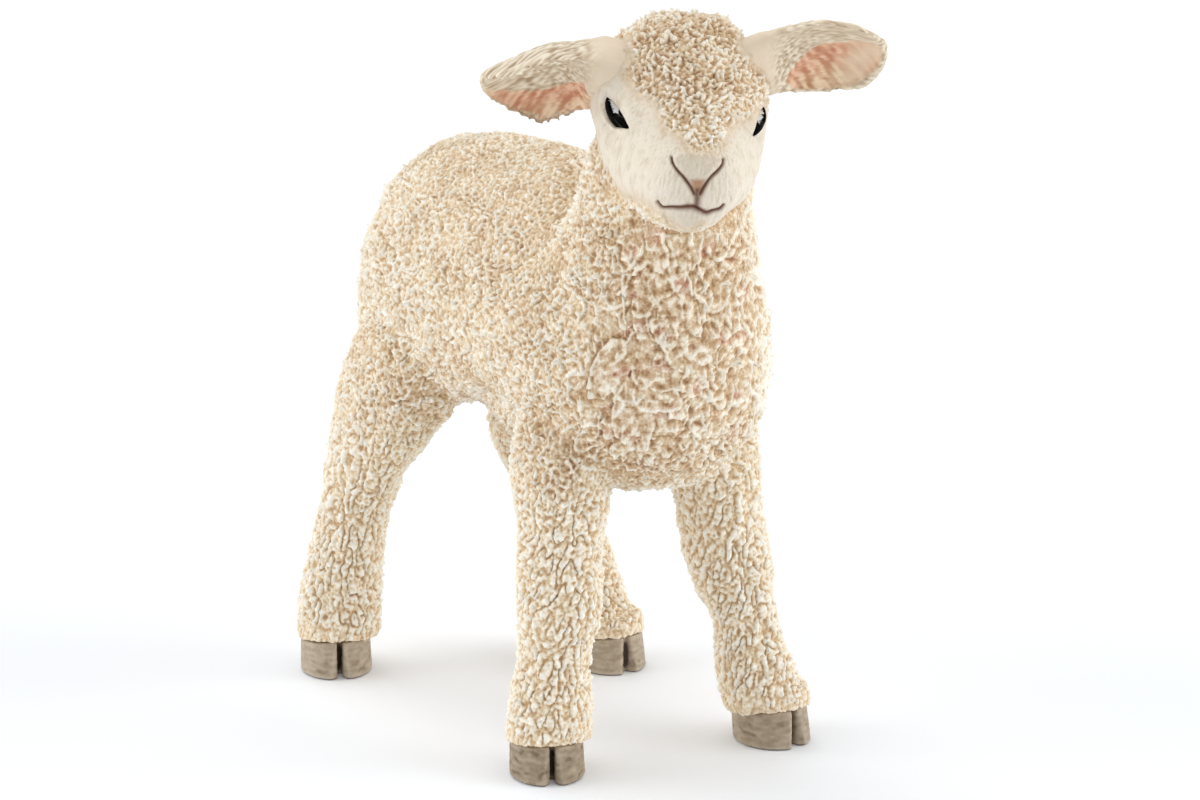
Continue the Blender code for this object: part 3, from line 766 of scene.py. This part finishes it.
def dressed(mesh, ear_trees):
    """Raises the curls and the face's forms on the skin."""
    places, normals = places_of(mesh), normals_of(mesh)
    is_head = labelled(mesh, "head")
    net = Net(mesh)
    is_head = net.blurred(is_head, 6)
    gaps = ear_gaps(places, ear_trees)
    zone = zones(places, normals, is_head, gaps)
    fleece = Fleece(places, normals, zone)
    fleece.lay()
    shaved = far_muzzle(places, normals) * is_head
    zone["bare"] = np.maximum(zone["bare"], shaved)
    for value in (zone["lift"], zone["wash_and_shade"], fleece.height):
        value *= 1 - shaved
    hairy = np.clip(zone["lift"] / 0.3, 0, 1)
    broken = 0.5 * (1 - 0.7 * zone["chest"]) * noisy(places, 4.6, 13.0)
    uneven = 0.85 + 0.8 * noisy(places, 1.9, 8.0) + broken
    height = fleece.height * uneven + hairy * 0.06 * noisy(places, 6.0, 3.0)
    fur = strands(places, HANG, 0.9, 0.17, 5.0) + 0.7 * noisy(places, 1.3, 6.0)
    depth, brown, tip, grey = face_forms(places, normals, is_head)
    hollow = eye_forms(places, is_head)
    smooth = net.blurred(height, 14)
    folds = 0.12 * zone["legs"] * strands(places, HANG, 3.5, 0.9, 31.0)
    lumps = (noisy(places, 0.42, 9.0) * 0.2 + noisy(places, 0.9, 4.0) * 0.13 + folds) * hairy
    forms = (depth + hollow) * np.clip(zone["bare"] * 1.6, 0, 1) + 0.04 * fur * zone["bare"]
    moved = height - 0.72 * smooth + lumps + forms + seam_swell(gaps) * is_head
    moved -= 0.05 * hairy + slimming(places, normals)
    # The curls' colour follows their height: darker in the pits, lighter on the crests. This is the toy's ochre wash
    # and pale dry-brush paint, and also painted shade in the pits and a painted highlight on the crests.
    tone = 0.42 + (height - smooth) / 0.25 + (height - 0.16) * (0.5 + 0.9 * zone["chest"])
    tone = tone * (1 - zone["bare"]) + (0.6 + 0.5 * fur) * zone["bare"]
    place(mesh, places + normals * moved[:, None])
    patch = smooth_step(0.12, 0.5, noisy(places, 0.75, 2.0)) * zone["chest"] * smooth_step(6, 3, places[:, 0])
    for name, values in (
        ("relief", np.clip(tone, 0, 1)), ("bare", zone["bare"]), ("brown", brown), ("tip", tip), ("grey", grey),
        ("wash_and_shade", zone["wash_and_shade"]), ("patch", patch),
    ):
        store(mesh, name, values)
    return mesh


def tucked(mesh, name):
    """An ear's net with its root drawn into the head, shaped as the photograph shows it."""
    places = places_of(mesh)
    left = to_head(places)[:, 0]
    out = np.abs(left)
    inward = np.array(HEAD_CENTRE) - places
    inward /= np.linalg.norm(inward, axis=1)[:, None]
    steps, rises, widths = np.array(EAR_STEPS[name]).T
    middle = np.polyval(np.polyfit(out, places[:, 2], 1), out)
    places[:, 2] += np.interp(out, steps, rises) + (np.interp(out, steps, widths) - 1) * (places[:, 2] - middle)
    longer = np.sign(left) * (EAR_LENGTH[name] - 1) * np.maximum(out - steps[0], 0)
    places += longer[:, None] * np.array(HEAD_LEFT)
    places += inward * 1.6 * smooth_step(4.5, 3.5, out)[:, None]
    place(mesh, places)
    return mesh


def ears(mesh, name, head_tree):
    """The ear's hair and its hollow."""
    places, normals = places_of(mesh), normals_of(mesh)
    side = -1 if name == "right_ear" else 1
    left, ahead, up = np.array(HEAD_LEFT), np.array(HEAD_AHEAD), np.array((0, 0, 1))
    away = side * left * math.cos(EAR_LIFT[name]) + up * math.sin(EAR_LIFT[name])
    facing = ahead * math.cos(EAR_FACING[name]) - up * math.sin(EAR_FACING[name])
    facing = facing - away * (facing @ away)
    out = side * to_head(places)[:, 0]
    spots = to_pixels(places)
    seen = smooth_step(0.0, 0.2, -(normals @ np.array(FORWARD)))
    inside = inside_by(spots, EAR_INSIDE[name]) + 1.5 * noisy(places, 2.2, 11.0)
    hollow = smooth_step(-1.2, 1.2, inside) * seen
    outer = strands(places, away * 0.8 + facing * 0.5 - up * 0.15, 1.5, 0.22, 1.0)
    inner = strands(places, away * 0.55 - up * 0.8, 1.6, 0.3, 2.0)
    fine = strands(places, away * 0.8 + facing * 0.3, 0.5, 0.14, 3.0)
    ridges = outer * (1 - hollow) + inner * hollow
    hair = smooth_step(4.4, 6.0, out) * (1 - 0.7 * smooth_step(0.2, 0.8, -normals[:, 2]))
    near = np.flatnonzero(out < 7.0)
    swell = np.zeros(len(places))
    swell[near] = seam_swell(gap_to(head_tree, places[near], SEAM))
    faced = smooth_step(0.15, 0.6, -(normals @ np.array(FORWARD)))
    sunk = 0.2 * smooth_step(-1.5, 3.5, inside) * faced * smooth_step(4.4, 6.0, out)
    place(mesh, places + normals * ((0.12 * ridges + 0.05 * fine) * hair + swell - sunk)[:, None])
    deep = line(spots, EAR_RED[name], 9.0) + 0.25 + 0.5 * noisy(places, 0.9, 6.0)
    store(mesh, "relief", np.clip(0.55 + (1.0 * ridges + 0.4 * fine) * (0.2 + 0.8 * hair), 0, 1))
    store(mesh, "hollow", hollow)
    store(mesh, "deep", 0.85 * np.clip(deep, 0, 1) * hollow)
    store(mesh, "root", smooth_step(6.4, 4.6, out))
    store(mesh, "end", smooth_step(8.4, 10.4, out))
    return mesh


def hoof(mesh, painted_shade):
    """The growth rings and dents of a hoof, the dark wash and painted shade in its cleft, painted shade along its sole
    and a painted highlight on its sharp edges.
    """
    places, normals = places_of(mesh), normals_of(mesh)
    net = Net(mesh)
    far = net.blurred(places, 40)
    sunk = np.sum((far - places) * normals, 1)
    rough = noisy(places * np.array([1, 1, 2.6]), 1.6)
    rings = np.sin(places[:, 2] * 13 + 3.0 * rough)
    wall = smooth_step(0.5, 0.15, np.abs(normals[:, 2])) * smooth_step(0.08, 0.3, places[:, 2])
    fine = noisy(places, 6.0, 4.0)
    dents = smooth_step(0.25, 0.5, noisy(places * np.array([1, 1, 1.8]), 1.5, 7.0))
    place(mesh, places + normals * (wall * (0.006 * rings + 0.006 * fine - 0.03 * dents))[:, None])
    # Sharp edges are made lighter in colour: a painted highlight.
    painted_edge_highlight = smooth_step(0.015, 0.06, -sunk)
    relief = 0.58 + painted_shade + 0.04 * rings * wall + 0.12 * fine + 0.25 * rough - 0.25 * dents + 0.22 * painted_edge_highlight
    store(mesh, "relief", np.clip(relief, 0, 1))
    # The cleft is darker: the hoof's dark wash paint there and painted shade in the recess. Painted shade also darkens
    # the bottom edge by the sole.
    cleft_wash_and_shade = np.clip(net.blurred(2.2 * smooth_step(0.005, 0.06, sunk), 14), 0, 1)
    store(mesh, "cleft", np.clip(cleft_wash_and_shade + smooth_step(0.14, 0.02, places[:, 2]), 0, 1))
    return mesh


def smooth_curve(corners, count, closed):
    """A smooth curve through corners."""
    corners = np.array(corners, float)
    if not closed:
        corners = np.concatenate((2 * corners[:1] - corners[1:2], corners, 2 * corners[-1:] - corners[-2:-1]))
    places = []
    for step in range(count):
        turn = step / count * len(corners)
        if not closed:
            turn = 1 + step / (count - 1) * (len(corners) - 3) * (1 - 1e-9)
        index, part = int(turn), turn % 1
        before, start, end, after = (corners[(index + shift) % len(corners)] for shift in (-1, 0, 1, 2))
        bend = 2 * before - 5 * start + 4 * end - after
        lift = -before + 3 * start - 3 * end + after
        places.append(0.5 * (2 * start + (end - before) * part + bend * part ** 2 + lift * part ** 3))
    return np.array(places)


def on_skin(tree, pixels, flip):
    """Casts pixels of the photograph onto the skin, or onto the head's other side."""
    hits = []
    for across, down in pixels:
        way = FORWARD + RIGHT * ((across - PHOTO_WIDTH / 2) / FOCAL) + UP * ((PHOTO_HEIGHT / 2 - down) / FOCAL)
        ends = np.array([EYE_POINT, EYE_POINT + way])
        if flip:
            ends = to_left_eye(ends)
        start, end = Vector(ends[0]), Vector(ends[1])
        hits.append(tree.ray_cast(start, (end - start).normalized())[0])
    return np.array(hits)


def eye(tree, name):
    """A domed almond lens on the skin, with a painted highlight in its colour."""
    flip = name == "left_eye"
    loop = smooth_curve(EYE_EDGE, 120, True)
    rim = on_skin(tree, loop, flip)
    centre = rim.mean(0)
    outward = np.array(HEAD_LEFT) * (1 if flip else -1) * 0.75 + np.array(HEAD_AHEAD) * 0.65
    outward /= np.linalg.norm(outward)
    middle = on_skin(tree, [loop.mean(0)], flip)[0]
    centre = centre + outward * max((middle - centre) @ outward, 0) * 0.9
    rings = 26
    places, faces = [], []
    for ring in range(rings + 1):
        share = 1 - ring / rings
        dome = outward * (EYE_DOME[name] * (1 - share ** 2.4) + 0.02)
        places.extend(centre + (rim - centre) * share + dome if ring < rings else [centre + dome])
    count = len(rim)
    for ring in range(rings - 1):
        for step in range(count):
            after = (step + 1) % count
            low, high = ring * count, (ring + 1) * count
            faces.append((low + step, low + after, high + after, high + step))
    tip, last = rings * count, (rings - 1) * count
    faces.extend((last + step, last + (step + 1) % count, tip) for step in range(count))
    back = len(places)
    places.append(centre - outward * 0.35)
    faces.extend(((step + 1) % count, step, back) for step in range(count))
    mesh = bpy.data.meshes.new(name)
    mesh.from_pydata([tuple(place) for place in places], [], faces)
    work = bmesh.new()
    work.from_mesh(mesh)
    bmesh.ops.recalc_face_normals(work, faces=work.faces)
    work.to_mesh(mesh)
    work.free()
    places = places_of(mesh)
    spots = to_pixels(from_left_eye(places) if flip else places)
    # A painted highlight: the glint is painted white into the lens colour, in place of a reflection.
    painted_highlight = smooth_step(-0.7, 0.7, inside_by(spots, EYE_GLINT) + 3.0 * noisy(places, 7.0, 1.0))
    store(mesh, "painted_glint", painted_highlight)
    return mesh


def parted(mesh):
    """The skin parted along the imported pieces, each closed inside and shaded as one skin."""
    places, normals = places_of(mesh), normals_of(mesh)
    inward = -Net(mesh).blurred(normals, 20)
    labels = read(mesh, "polygons", "material_index", 1)
    starts = read(mesh, "polygons", "loop_start", 1)
    totals = read(mesh, "polygons", "loop_total", 1)
    loops = read(mesh, "loops", "vertex_index", 1)
    fields = [layer.name for layer in mesh.attributes if layer.data_type == "FLOAT" and layer.domain == "POINT"]
    values = {}
    for field in fields:
        holder = np.empty(len(places), np.float32)
        mesh.attributes[field].data.foreach_get("value", holder)
        values[field] = holder
    made = {}
    for number, name in enumerate(BODY_NODES):
        chosen = np.flatnonzero(labels == number)
        corners = [loops[starts[face]:starts[face] + totals[face]] for face in chosen]
        used, inverse = np.unique(np.concatenate(corners), return_inverse=True)
        ends = np.cumsum(totals[chosen])
        faces = [part.tolist() for part in np.split(inverse, ends[:-1])]
        piece = bpy.data.meshes.new(name)
        piece.from_pydata(places[used].tolist(), [], faces)
        for field in fields:
            store(piece, field, values[field][used])
        close_inside(piece, inward[used])
        turned = np.zeros((len(piece.vertices), 3))
        turned[:len(used)] = normals[used]
        piece.shade_smooth()
        piece.normals_split_custom_set_from_vertices(turned.tolist())
        made[name] = piece
    return made


def close_inside(mesh, inward):
    """Closes each open rim with a collar and a cone that lie inside the body."""
    work = bmesh.new()
    work.from_mesh(mesh)
    rim = [edge for edge in work.edges if edge.is_boundary]
    links = {}
    for edge in rim:
        for vertex in edge.verts:
            links.setdefault(vertex, []).append(edge)
    inner = {}
    for vertex in links:
        way = Vector(inward[vertex.index]).normalized()
        inner[vertex] = work.verts.new(vertex.co + way * EDGE_DEPTH)
    left = dict.fromkeys(rim)
    while left:
        group, front = [], [left.popitem()[0]]
        while front:
            edge = front.pop()
            group.append(edge)
            for vertex in edge.verts:
                for other in links[vertex]:
                    if other in left:
                        del left[other]
                        front.append(other)
        ends = [inner[vertex].co for edge in group for vertex in edge.verts]
        tip = work.verts.new(sum(ends, Vector()) / len(ends))
        for edge in group:
            loop = edge.link_loops[0]
            first, second = loop.link_loop_next.vert, loop.vert
            work.faces.new((first, second, inner[second], inner[first]))
            work.faces.new((inner[first], inner[second], tip))
    work.to_mesh(mesh)
    work.free()


class Shader:
    """A small helper around one material's nodes."""

    def __init__(self, name, roughness, specular):
        self.material = bpy.data.materials.new(name)
        self.material.use_nodes = True
        self.nodes, self.links = self.material.node_tree.nodes, self.material.node_tree.links
        self.main = self.nodes["Principled BSDF"]
        self.main.inputs["Roughness"].default_value = roughness
        self.main.inputs["Specular IOR Level"].default_value = specular

    def attribute(self, name):
        made = self.nodes.new("ShaderNodeAttribute")
        made.attribute_name = name
        return made.outputs["Fac"]

    def grain(self, scale, detail=2.0):
        where = self.nodes.new("ShaderNodeTexCoord")
        made = self.nodes.new("ShaderNodeTexNoise")
        made.inputs["Scale"].default_value = scale
        made.inputs["Detail"].default_value = detail
        self.links.new(where.outputs["Object"], made.inputs["Vector"])
        return made.outputs["Fac"]

    def roughened(self, source, grain, share):
        """The source with a share of the grain, which is about a half, added to it."""
        less = self.nodes.new("ShaderNodeMath")
        less.operation = "SUBTRACT"
        self.links.new(source, less.inputs[0])
        less.inputs[1].default_value = share / 2
        made = self.nodes.new("ShaderNodeMath")
        made.operation = "MULTIPLY_ADD"
        self.links.new(grain, made.inputs[0])
        made.inputs[1].default_value = share
        self.links.new(less.outputs[0], made.inputs[2])
        return made.outputs[0]

    def ramp(self, source, stops):
        made = self.nodes.new("ShaderNodeValToRGB")
        self.links.new(source, made.inputs["Fac"])
        elements = made.color_ramp.elements
        while len(elements) < len(stops):
            elements.new(1.0)
        for element, (at, colour) in zip(elements, stops):
            element.position = at
            element.color = (*paint(colour), 1)
        return made.outputs["Color"]

    def mix(self, factor, first, second, kind="MIX"):
        made = self.nodes.new("ShaderNodeMix")
        made.data_type = "RGBA"
        made.blend_type = kind
        for value, socket in ((factor, made.inputs[0]), (first, made.inputs[6]), (second, made.inputs[7])):
            if isinstance(value, bpy.types.NodeSocket):
                self.links.new(value, socket)
            elif isinstance(value, tuple):
                socket.default_value = (*paint(value), 1)
            else:
                socket.default_value = value
        return made.outputs[2]

    def bump(self, source, strength, distance):
        made = self.nodes.new("ShaderNodeBump")
        made.inputs["Strength"].default_value = strength
        made.inputs["Distance"].default_value = distance
        self.links.new(source, made.inputs["Height"])
        self.links.new(made.outputs["Normal"], self.main.inputs["Normal"])

    def colour(self, source):
        self.links.new(source, self.main.inputs["Base Color"])


def paint(colour):
    """An sRGB colour of 0 to 255 as the linear one that shaders take."""
    shares = [part / 255 for part in colour]
    return tuple(part / 12.92 if part < 0.04045 else ((part + 0.055) / 1.055) ** 2.4 for part in shares)


def wool_material():
    made = Shader("wool", 0.6, 0.3)
    # The fine grain in the colour gives paint speckle and painted highlights on tiny bumps.
    relief = made.roughened(made.attribute("relief"), made.grain(7500.0, 3.0), 0.75)
    clean = made.ramp(relief, (
        (0.0, (190, 154, 114)), (0.25, (221, 195, 158)), (0.5, (243, 228, 202)), (0.85, (255, 251, 239)),
    ))
    washed_and_shaded = made.ramp(relief, (
        (0.0, (156, 117, 81)), (0.3, (196, 163, 124)), (0.6, (222, 197, 163)), (0.92, (250, 240, 220)),
    ))
    flushed = made.ramp(relief, (
        (0.0, (162, 110, 86)), (0.3, (205, 156, 129)), (0.6, (223, 194, 167)), (0.92, (250, 240, 222)),
    ))
    washed_and_shaded = made.mix(made.attribute("patch"), washed_and_shaded, flushed)
    # The wash mixes the toy's ochre wash paint with painted shade.
    wool = made.mix(made.attribute("wash_and_shade"), clean, washed_and_shaded)
    face = made.ramp(relief, ((0.2, (217, 203, 181)), (0.65, (232, 222, 205))))
    # On the face the same mix darkens the skin along the wool's edge: ochre wash and painted shade.
    face = made.mix(made.attribute("wash_and_shade"), face, (216, 192, 160))
    # Grey paint on the nose pad and lower lip, partly painted shade.
    face = made.mix(made.attribute("grey"), face, (200, 187, 167))
    face = made.mix(made.attribute("tip"), face, (180, 142, 112))
    face = made.mix(made.attribute("brown"), face, (104, 62, 38))
    made.colour(made.mix(made.attribute("bare"), wool, face))
    made.bump(made.grain(8000.0, 3.0), 0.9, 0.00008)
    return made.material


def ear_material():
    made = Shader("ear", 0.6, 0.3)
    relief = made.attribute("relief")
    outside = made.ramp(relief, ((0.1, (176, 151, 122)), (0.5, (210, 193, 168)), (0.9, (239, 228, 208))))
    bare = made.mix(made.grain(900.0), (224, 204, 178), (236, 222, 201))
    outside = made.mix(made.attribute("root"), outside, bare)
    within = made.ramp(relief, ((0.15, (194, 148, 110)), (0.5, (211, 177, 142)), (0.85, (238, 214, 182))))
    within = made.mix(made.attribute("end"), within, (230, 208, 180))
    red = made.ramp(relief, ((0.15, (196, 130, 100)), (0.5, (214, 158, 128)), (0.85, (234, 190, 160))))
    within = made.mix(made.attribute("deep"), within, red)
    made.colour(made.mix(made.attribute("hollow"), outside, within))
    made.bump(made.grain(6000.0, 3.0), 0.3, 0.00005)
    return made.material


def hoof_material():
    made = Shader("hoof", 0.55, 0.35)
    horn = made.ramp(made.attribute("relief"), ((0.1, (116, 101, 78)), (0.5, (160, 144, 122)), (0.9, (190, 176, 156))))
    # The cleft and the sole's edge turn dark: dark wash paint and painted shade.
    made.colour(made.mix(made.attribute("cleft"), horn, (52, 36, 24)))
    made.bump(made.grain(5000.0), 0.3, 0.00005)
    return made.material


def eye_material():
    made = Shader("eye", 0.3, 0.01)
    black = made.mix(made.grain(900.0), (3, 3, 4), (8, 7, 7))
    # The glint is a painted highlight in the black lens colour.
    made.colour(made.mix(made.attribute("painted_glint"), black, (236, 238, 242)))
    return made.material


def stage():
    bpy.ops.mesh.primitive_plane_add(size=4)
    floor = bpy.context.object
    floor.name = "floor"
    made = Shader("floor_white", 0.9, 0.1)
    made.main.inputs["Base Color"].default_value = (0.90, 0.93, 0.97, 1)
    made.main.inputs["Emission Color"].default_value = (1, 1, 1, 1)
    made.main.inputs["Emission Strength"].default_value = 0.09
    floor.data.materials.append(made.material)


def sun(name, strength, angle, azimuth, elevation):
    """A large soft light; its azimuth counts from the camera's side, towards the right."""
    data = bpy.data.lights.new(name, "SUN")
    data.energy = strength
    data.angle = math.radians(angle)
    made = bpy.data.objects.new(name, data)
    turn = math.radians(azimuth)
    level = RIGHT * math.sin(turn) + TO_CAMERA * math.cos(turn)
    along = level * math.cos(math.radians(elevation)) + Vector((0, 0, math.sin(math.radians(elevation))))
    made.rotation_euler = along.to_track_quat("Z", "Y").to_euler()
    bpy.context.scene.collection.objects.link(made)


def lights():
    """A pale room that is dimmer in front and overhead, and a soft light on either side."""
    world = bpy.data.worlds.new("studio")
    bpy.context.scene.world = world
    world.use_nodes = True
    nodes, links = world.node_tree.nodes, world.node_tree.links
    where = nodes.new("ShaderNodeTexCoord").outputs["Generated"]
    level = None
    for way, share in ((TO_CAMERA, ROOM_FRONT), (Vector((0, 0, 1)), ROOM_TOP)):
        part = nodes.new("ShaderNodeVectorMath")
        part.operation = "DOT_PRODUCT"
        links.new(where, part.inputs[0])
        part.inputs[1].default_value = way
        only = nodes.new("ShaderNodeMath")
        only.operation = "MAXIMUM"
        links.new(part.outputs["Value"], only.inputs[0])
        only.inputs[1].default_value = 0
        less = nodes.new("ShaderNodeMath")
        less.operation = "MULTIPLY_ADD"
        links.new(only.outputs[0], less.inputs[0])
        less.inputs[1].default_value = share
        if level is None:
            less.inputs[2].default_value = ROOM
        else:
            links.new(level, less.inputs[2])
        level = less.outputs[0]
    seen = nodes.new("ShaderNodeMix")
    links.new(nodes.new("ShaderNodeLightPath").outputs["Is Camera Ray"], seen.inputs[0])
    links.new(level, seen.inputs[2])
    seen.inputs[3].default_value = 1.0
    nodes["Background"].inputs["Color"].default_value = (1, 1, 1, 1)
    links.new(seen.outputs[0], nodes["Background"].inputs["Strength"])
    sun("left", 1.2, 50, -84, 20)
    sun("right", 1.35, 50, 82, 20)
    sun("above", 0.55, 30, -140, 70)


def finish(mesh, name, material, nodes=None):
    """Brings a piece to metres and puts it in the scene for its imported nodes."""
    mesh.materials.clear()
    mesh.materials.append(material)
    mesh.polygons.foreach_set("material_index", np.zeros(len(mesh.polygons), np.int32))
    made = bpy.data.objects.new(f"{name}_look", mesh)
    mesh.transform(Matrix.Scale(MM, 4))
    bpy.context.scene.collection.objects.link(made)
    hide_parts(*(nodes or (name,)))
    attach(made, "root")


def tree_of(mesh):
    """A mesh's faces, sorted for finding the nearest one."""
    work = bmesh.new()
    work.from_mesh(mesh)
    tree = BVHTree.FromBMesh(work)
    work.free()
    return tree


def build():
    net = smooth_skin()
    tree = tree_of(net)
    fine = with_modifier(net, "SUBSURF", levels=NET_LEVELS, render_levels=NET_LEVELS)
    ear_nets = {name: tucked(even_net(node_work(name), 0.17, 5), name) for name in EAR_FACING}
    ear_trees = {side: tree_of(ear_nets[name]) for name, side in (("right_ear", -1), ("left_ear", 1))}
    skin = dressed(refine_muzzle(cut_cuffs(fine)), ear_trees)
    wool, ear, horn, black = wool_material(), ear_material(), hoof_material(), eye_material()
    for name, piece in parted(skin).items():
        finish(piece, name, wool)
    for name, net in ear_nets.items():
        piece = ears(with_modifier(net, "SUBSURF", levels=1, render_levels=1), name, tree)
        piece.shade_smooth()
        finish(piece, name, ear)
    for name in LEG_NAMES:
        net = with_modifier(even_net(node_work(f"{name}_hoof"), 0.14, 3), "SUBSURF", levels=1, render_levels=1)
        piece = hoof(net, HOOF_PAINTED_SHADE[name])
        piece.shade_smooth()
        finish(piece, f"{name}_hoof", horn)
    for name in ("right_eye", "left_eye"):
        piece = eye(tree, name)
        piece.shade_smooth()
        finish(piece, name, black)


build()
make_camera()
stage()
lights()
bpy.context.scene.view_settings.view_transform = "Standard"
